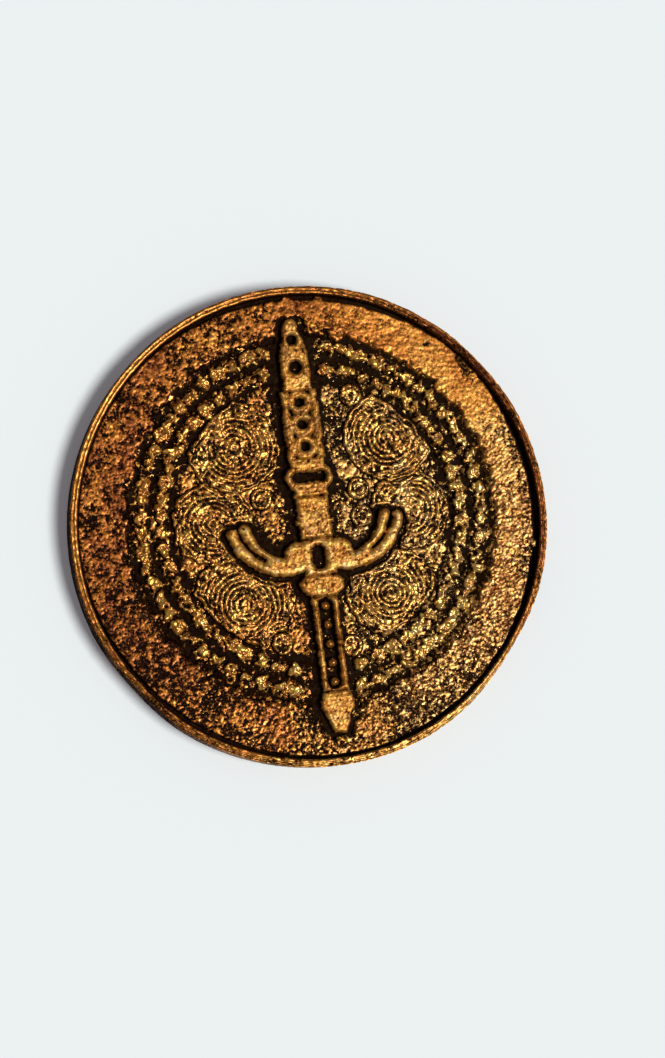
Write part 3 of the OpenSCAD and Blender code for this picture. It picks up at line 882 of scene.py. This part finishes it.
def add_reverse_lines(disc_r):
    """Disc of diagonal lines: rows of points, one for each bend of the underside, with a flat back."""
    sections = []
    count = int(2 * disc_r / TOOLPATH)
    start = -count * TOOLPATH / 2
    for k in range(count):
        sections += line_section(start + k * TOOLPATH)
    sections = [(v, z) for v, z in sections if abs(v) < disc_r - 0.02]
    steps = 64
    v = np.array([section[0] for section in sections])[:, None]
    lift = np.array([section[1] for section in sections])[:, None]
    u = np.linspace(-1, 1, steps)[None, :] * np.sqrt(disc_r ** 2 - v ** 2)
    v = np.broadcast_to(v, u.shape)
    x, y = (u - v) * math.sqrt(0.5), (u + v) * math.sqrt(0.5)
    z = lift + 0.008 * (1 + lumps(x, y, 1.5, 301))
    rows = len(sections)
    number = np.arange(rows * steps).reshape(rows, steps)
    quads = np.stack([number[:-1, :-1], number[1:, :-1], number[1:, 1:], number[:-1, 1:]], -1)
    faces = quads.reshape(-1, 4).tolist()
    edge = [*number[0], *number[1:-1, -1], *number[-1][::-1], *number[1:-1, 0][::-1]]
    corners = np.stack([x, y, z], -1).reshape(-1, 3).tolist()
    first = len(corners)
    corners += [(corners[i][0], corners[i][1], SHELL) for i in edge]
    size = len(edge)
    for k in range(size):
        m = (k + 1) % size
        faces.append([int(edge[k]), int(edge[m]), first + m, first + k])
    faces.append([first + k for k in range(size)])
    grain = rough(x, y, 0.3, 303, 2)
    wax_and_shade = 0.25 + 9 * lift - 0.2 * grain
    tone = 0.45 + 0.12 * grain + 0.1 * lumps(x, y, 5, 305)
    hue = 0.45 + 0.2 * lumps(x, y, 6, 311)
    values = {"wax_and_shade": wax_and_shade.ravel(), "tone": tone.ravel(), "hue": hue.ravel()}
    piece = make_piece("reverse_layers", corners, faces, values)
    finish_piece(piece, "blank", RIM_LOOK)


def add_reverse_loops(disc_r, loops):
    profile = [(disc_r - 0.02, SHELL)]
    for k in range(loops):
        profile += line_section(disc_r + k * TOOLPATH)
    profile += [(FIELD_R - 0.01, 0.05), (FIELD_R - 0.01, SHELL)]

    def shape(a, r, z):
        low = smooth_step(0.2, 0.0, z)
        return r, z + low * 0.008 * (1 + lumps(r * np.cos(a), r * np.sin(a), 1.5, 307))

    def tint(a, r, z):
        grain = rough(r * np.cos(a), r * np.sin(a), 0.3, 309, 2)
        return 0.25 + 9 * np.clip(z, 0, 0.05) - 0.2 * grain, 0.45 + 0.12 * grain, np.full(r.shape, 0.45)

    ring_piece("reverse_loops", profile[::-1], LOOP_TURNS, shape, tint, "blank", RIM_LOOK)


def add_emblem():
    """The sword, piece by piece; the guard's strands are rounder and carry a painted highlight along their
    crests.
    """
    for i, node in enumerate(SWORD):
        rounded = node == "crossguard"
        surface = sword_surface(71, 0.50, 0.30) if rounded else sword_surface(71, 0.32)
        relief_of(node, SWORD_STEP, 0.8, surface, SWORD_LOOK, wobble=0.07,
                  grow=0.14 if node == "blade_openwork" else 0.05, seed=i)
    relief_of("grip_beads", BEAD_STEP, 0.6, bead_surface, MARK_LOOK, wobble=0.03)


def add_marks():
    """Rings of rough marks: the CAD marks joined up by stray blobs of the same height."""
    for i, node in enumerate(MARK_RINGS):
        segments = outline(node)
        xs, ys = grid_over(segments, MARK_STEP, 0.5)
        distance = signed_distance(segments, xs, ys, 0.8)
        x, y = np.meshgrid(xs, ys)
        off_ring = np.abs(np.hypot(x - RING_X, y - RING_Y) - MIDDLES[i]) - 0.66
        off_sword = 0.75 - sword_distance(x, y)
        blobs = 0.32 * (0.62 - rough(x, y, 0.62, 130 + i, 3))
        blobs = np.maximum(np.maximum(blobs, off_ring), off_sword)
        shaken = distance - 0.15 + 0.24 * rough(x, y, 0.38, 120 + i, 2)
        add_relief(node + "_relief", node, np.minimum(shaken, blobs), xs, ys, ROOT_Z,
                   mark_surface(61 + 40 * i), MARK_LOOK)


def whorls_in(node, count, seed):
    """Centres [x, y, swell] for the ridges of a panel: one in its middle and count round it."""
    low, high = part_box(node)
    middle = np.array([low.x + high.x, low.y + high.y]) / 2 / MM
    half = np.array([high.x - low.x, high.y - low.y]) / 2 / MM
    rng = np.random.default_rng(seed)
    start = rng.uniform(0, 2 * math.pi)
    whorls = [(*middle, 2.0)]
    for k in range(count):
        angle = start + k * 2 * math.pi / count
        place = middle + 0.95 * half * np.array([math.cos(angle), math.sin(angle)])
        whorls.append((*place, rng.uniform(0.2, 1.0)))
    return whorls


def add_panels():
    """Three rippled panels on each side of the sword, and the roundels between them."""
    names = [f"{side}_ripple_{part}" for side in ("left", "right") for part in ("upper", "middle", "lower")]
    for i, node in enumerate(names):
        seed = 400 + 13 * i
        surface = panel_surface(whorls_in(node, 3, seed), seed)
        relief_of(node, PANEL_STEP, 4.5, surface, RIPPLE_LOOK, wobble=0.16, grow=0.12,
                  seed=40 + i)
    surface = panel_surface([(x, y, 0.0) for x, y in roundel_centres()], 500)
    relief_of("ripple_roundels", PANEL_STEP, 1.2, surface, RIPPLE_LOOK, wobble=0.05,
              grow=0.04, seed=50)


def roundel_centres():
    """Middle of each separate disc in the roundels' node."""
    widest, farthest = 2.2, 1.3         # a disc's diameter, and its radius, with something to spare
    points = outline("ripple_roundels").reshape(-1, 2)
    centres = []
    while len(points):
        group = points[np.hypot(*(points - points[0]).T) < widest]
        centres.append((group.min(axis=0) + group.max(axis=0)) / 2)
        points = points[np.hypot(*(points - centres[-1]).T) > farthest]
    return centres


# ---- stage ----------------------------------------------------------------------------------------------

def add_ground():
    """Pale floor just under the token; its faint warm glow tints the token's shadow."""
    side = 1.2                  # metres
    below = 2e-5
    bpy.ops.mesh.primitive_plane_add(size=side, location=(0, 0, CAD_BOX[0].z - below))
    ground = bpy.context.object
    ground.name = "ground"
    look = bpy.data.materials.new("pale_ground")
    look.use_nodes = True
    shader = look.node_tree.nodes["Principled BSDF"]
    shader.inputs["Base Color"].default_value = (0.758, 0.823, 0.830, 1)
    shader.inputs["Emission Color"].default_value = (1.0, 0.75, 0.85, 1)
    shader.inputs["Emission Strength"].default_value = 0.08
    shader.inputs["Roughness"].default_value = 0.9
    shader.inputs["Specular IOR Level"].default_value = 0.1
    ground.data.materials.append(look)


def add_light():
    """A wide soft key light from the right, high up, and a weak bluish fill from all round."""
    azimuth, elevation = math.radians(-25), math.radians(66)
    towards = Vector((math.cos(elevation) * math.cos(azimuth), math.cos(elevation) * math.sin(azimuth),
                      math.sin(elevation)))
    sun = bpy.data.lights.new("key", "SUN")
    sun.energy = 2.86
    sun.angle = math.radians(20)
    sun.color = (1.0, 0.985, 0.965)
    key = bpy.data.objects.new("key", sun)
    key.rotation_euler = towards.to_track_quat("Z", "Y").to_euler()
    bpy.context.scene.collection.objects.link(key)
    world = bpy.data.worlds.new("studio")
    world.use_nodes = True
    background = world.node_tree.nodes["Background"]
    background.inputs["Color"].default_value = (0.93, 0.97, 1.0, 1)
    background.inputs["Strength"].default_value = 0.18
    bpy.context.scene.world = world


def add_camera():
    """Almost overhead, leaning a little to the left and towards the viewer."""
    frame_width = 55.08 * MM     # what the picture takes in across, at the token's face
    aim = Vector((1.8 * MM, -0.31 * MM, RIM_TOP * MM))
    lean_left, lean_near = math.radians(9), math.radians(5)
    away = Vector((-math.tan(lean_left), -math.tan(lean_near), 1)).normalized()
    distance = 0.3               # metres
    camera = bpy.data.cameras.new("camera")
    camera.sensor_fit = "HORIZONTAL"
    camera.lens = camera.sensor_width * distance / frame_width
    camera.clip_start = 0.01
    holder = bpy.data.objects.new("camera", camera)
    holder.location = aim + away * distance
    across = Vector((0, 1, 0)).cross(away).normalized()
    holder.rotation_euler = Matrix((across, away.cross(across), away)).transposed().to_euler()
    bpy.context.scene.collection.objects.link(holder)
    bpy.context.scene.camera = holder


add_rim()
add_band()
add_floor()
add_reverse()
add_marks()
add_panels()
add_emblem()
add_ground()
add_light()
add_camera()
bpy.context.scene.view_settings.view_transform = "Standard"
